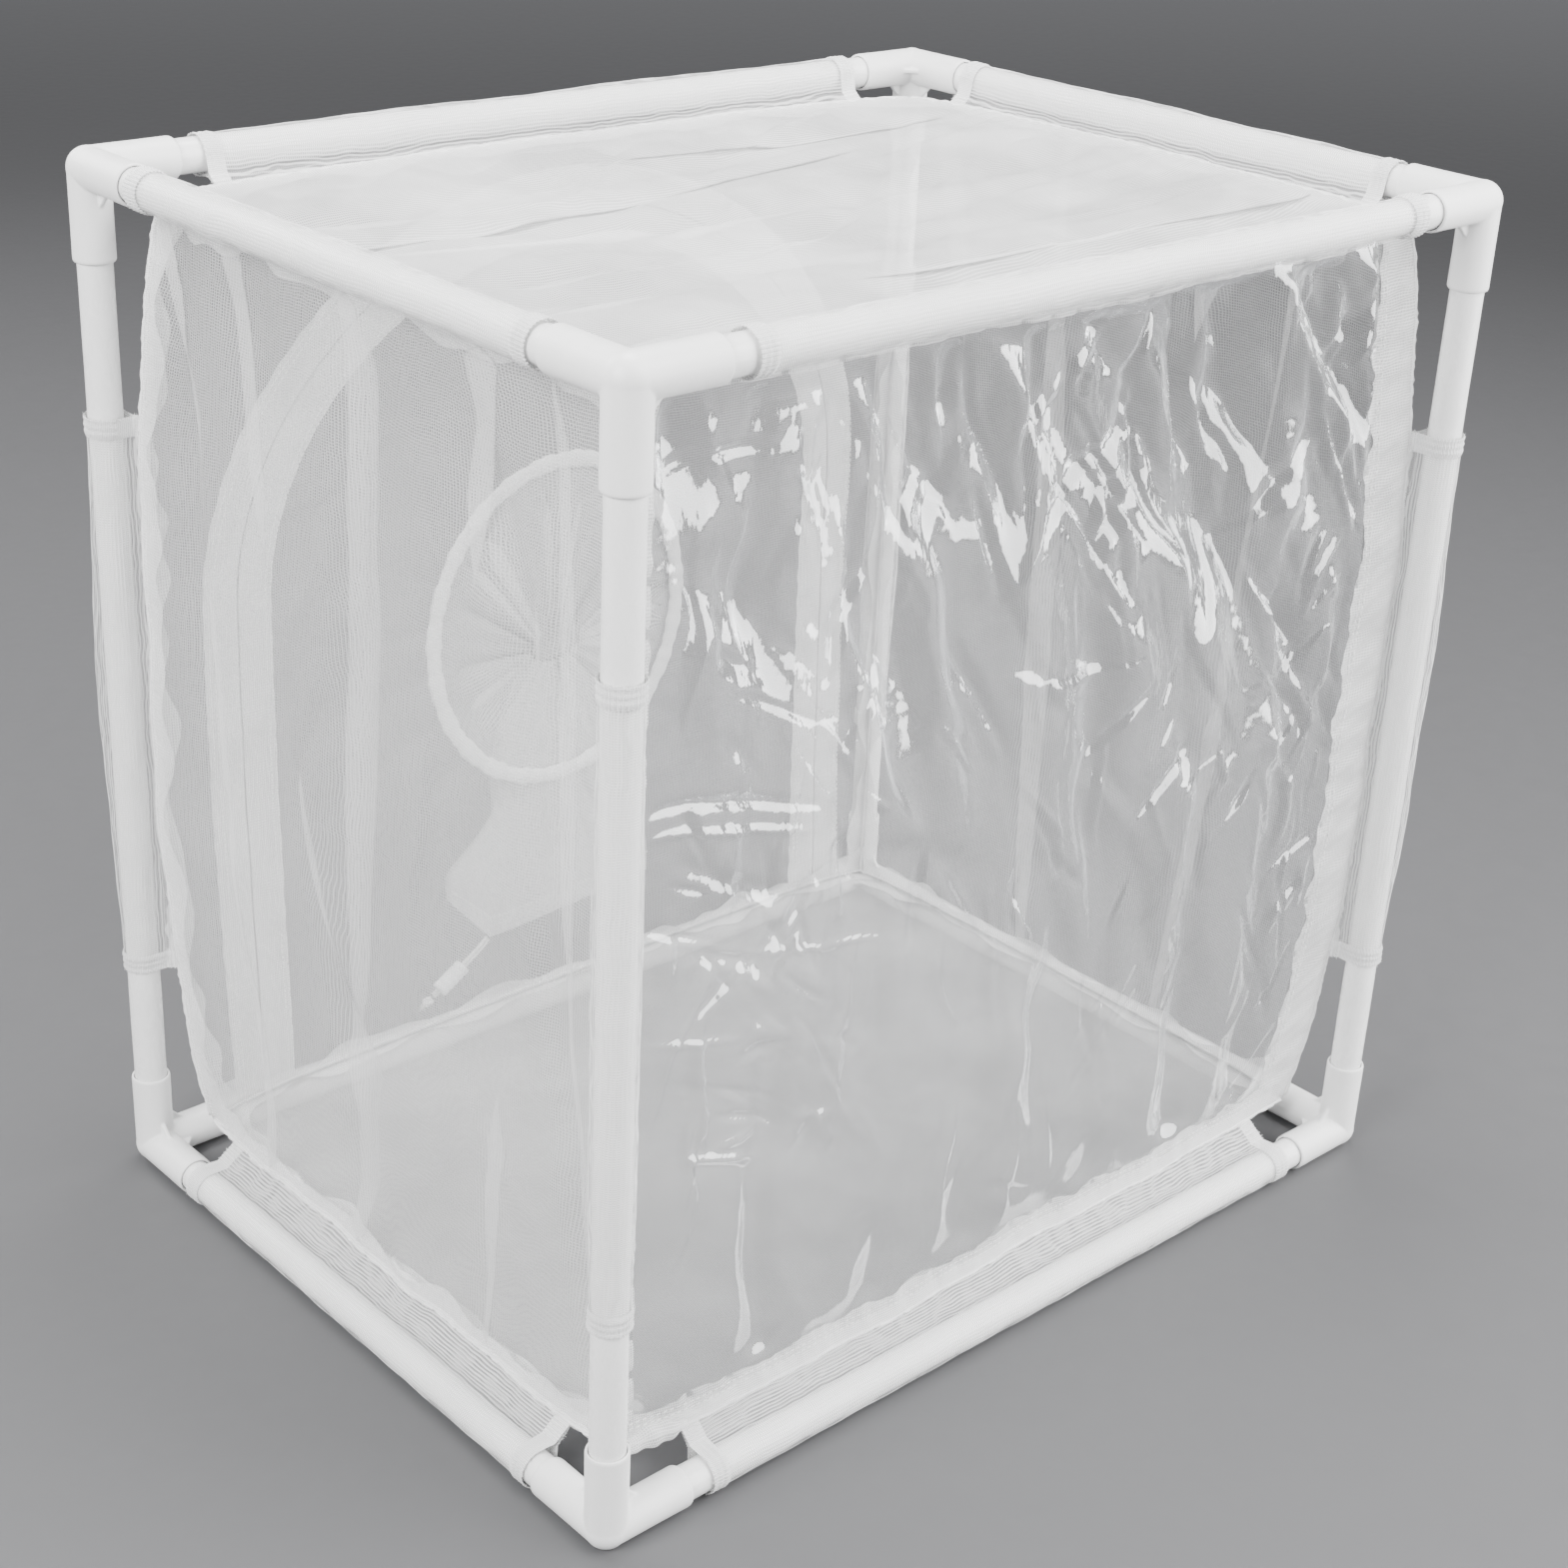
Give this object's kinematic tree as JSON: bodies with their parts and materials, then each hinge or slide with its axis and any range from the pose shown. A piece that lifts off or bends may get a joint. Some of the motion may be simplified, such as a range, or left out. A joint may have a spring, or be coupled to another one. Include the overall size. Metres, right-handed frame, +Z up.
{
  "type": "insect cage",
  "caption": "Pop-together pipe frame carrying a net tent with a clear film window, an arched zip door and a drawstring hand sleeve.",
  "frame": {"origin": "middle of the footprint, on the surface that the cage stands on", "axes": "+Z up, +Y towards the zip door, -Y towards the clear window"},
  "size_m": [0.5194, 0.3924, 0.5189],
  "materials": {
    "fitting_plastic": "moulded, satin",
    "pipe_plastic": "drawn tube, soft gloss",
    "ribbed_net": "coarse ribbed gauze",
    "net": "fine knitted mesh",
    "floor_net": "close-woven white cloth",
    "film": "clear flexible film",
    "zip_tape": "woven tape",
    "zip_coil": "coiled nylon teeth",
    "binding": "bound edge",
    "cord": "twisted thread",
    "stopper": "ribbed, translucent",
    "slider_paint": "white enamel"
  },
  "bodies": {
    "cage": {"fitting_front_left_bottom": "fitting_plastic", "fitting_front_right_bottom": "fitting_plastic", "fitting_rear_left_bottom": "fitting_plastic", "fitting_rear_right_bottom": "fitting_plastic", "fitting_front_left_top": "fitting_plastic", "fitting_front_right_top": "fitting_plastic", "fitting_rear_left_top": "fitting_plastic", "fitting_rear_right_top": "fitting_plastic", "pipe_front_bottom": "pipe_plastic", "pipe_rear_bottom": "pipe_plastic", "pipe_left_bottom": "pipe_plastic", "pipe_right_bottom": "pipe_plastic", "pipe_front_top": "pipe_plastic", "pipe_rear_top": "pipe_plastic", "pipe_left_top": "pipe_plastic", "pipe_right_top": "pipe_plastic", "post_front_left": "pipe_plastic", "post_front_right": "pipe_plastic", "post_rear_left": "pipe_plastic", "post_rear_right": "pipe_plastic", "sleeve_front_bottom": "ribbed_net", "sleeve_rear_bottom": "ribbed_net", "sleeve_left_bottom": "ribbed_net", "sleeve_right_bottom": "ribbed_net", "sleeve_front_top": "ribbed_net", "sleeve_rear_top": "ribbed_net", "sleeve_left_top": "ribbed_net", "sleeve_right_top": "ribbed_net", "sleeve_post_front_left": "ribbed_net", "sleeve_post_front_right": "ribbed_net", "sleeve_post_rear_left": "ribbed_net", "sleeve_post_rear_right": "ribbed_net", "net_left": "net", "net_right": "net", "net_top": "net", "floor_sheet": "floor_net", "window_film": "film", "window_border_bottom": "net", "window_border_top": "net", "window_border_left": "net", "window_border_right": "net", "rear_surround": "net", "zip_tape_frame": "zip_tape", "zip_coil_frame": "zip_coil"},
    "door": {"door_panel": "net", "zip_tape_door": "zip_tape", "zip_coil_door": "zip_coil", "port_ring": "binding", "sock_hood": "net"},
    "sleeve": {"sock_tail": "net", "drawcord_upper_strand": "cord", "drawcord_lower_strand": "cord", "cord_knot": "cord"},
    "stopper": {"cord_stopper": "stopper"},
    "slider": {"zip_slider": "slider_paint"},
    "tab": {"pull_tab": "slider_paint"}
  },
  "joints": [
    {"name": "door_fold", "type": "hinge", "parent": "cage", "child": "door", "pos_m": [0, 0.1745, 0.0272], "axis": [-1, 0, 0], "range_deg": [0, 75]},
    {"name": "sleeve_lift", "type": "hinge", "parent": "door", "child": "sleeve", "pos_m": [0, 0.1845, 0.141], "axis": [1, 0, 0], "range_deg": [0, 80]},
    {"name": "stopper_slide", "type": "slide", "parent": "sleeve", "child": "stopper", "axis": [-0.8513, 0, -0.5247], "range_m": [-0.005, 0.0035]},
    {"name": "zip_slide", "type": "slide", "parent": "door", "child": "slider", "axis": [0, 0, 1], "range_m": [-0.15, 0.085]},
    {"name": "tab_swing", "type": "hinge", "parent": "slider", "child": "tab", "pos_m": [-0.193, 0.1823, 0.197], "axis": [1, 0, 0], "range_deg": [0, 150]}
  ]
}
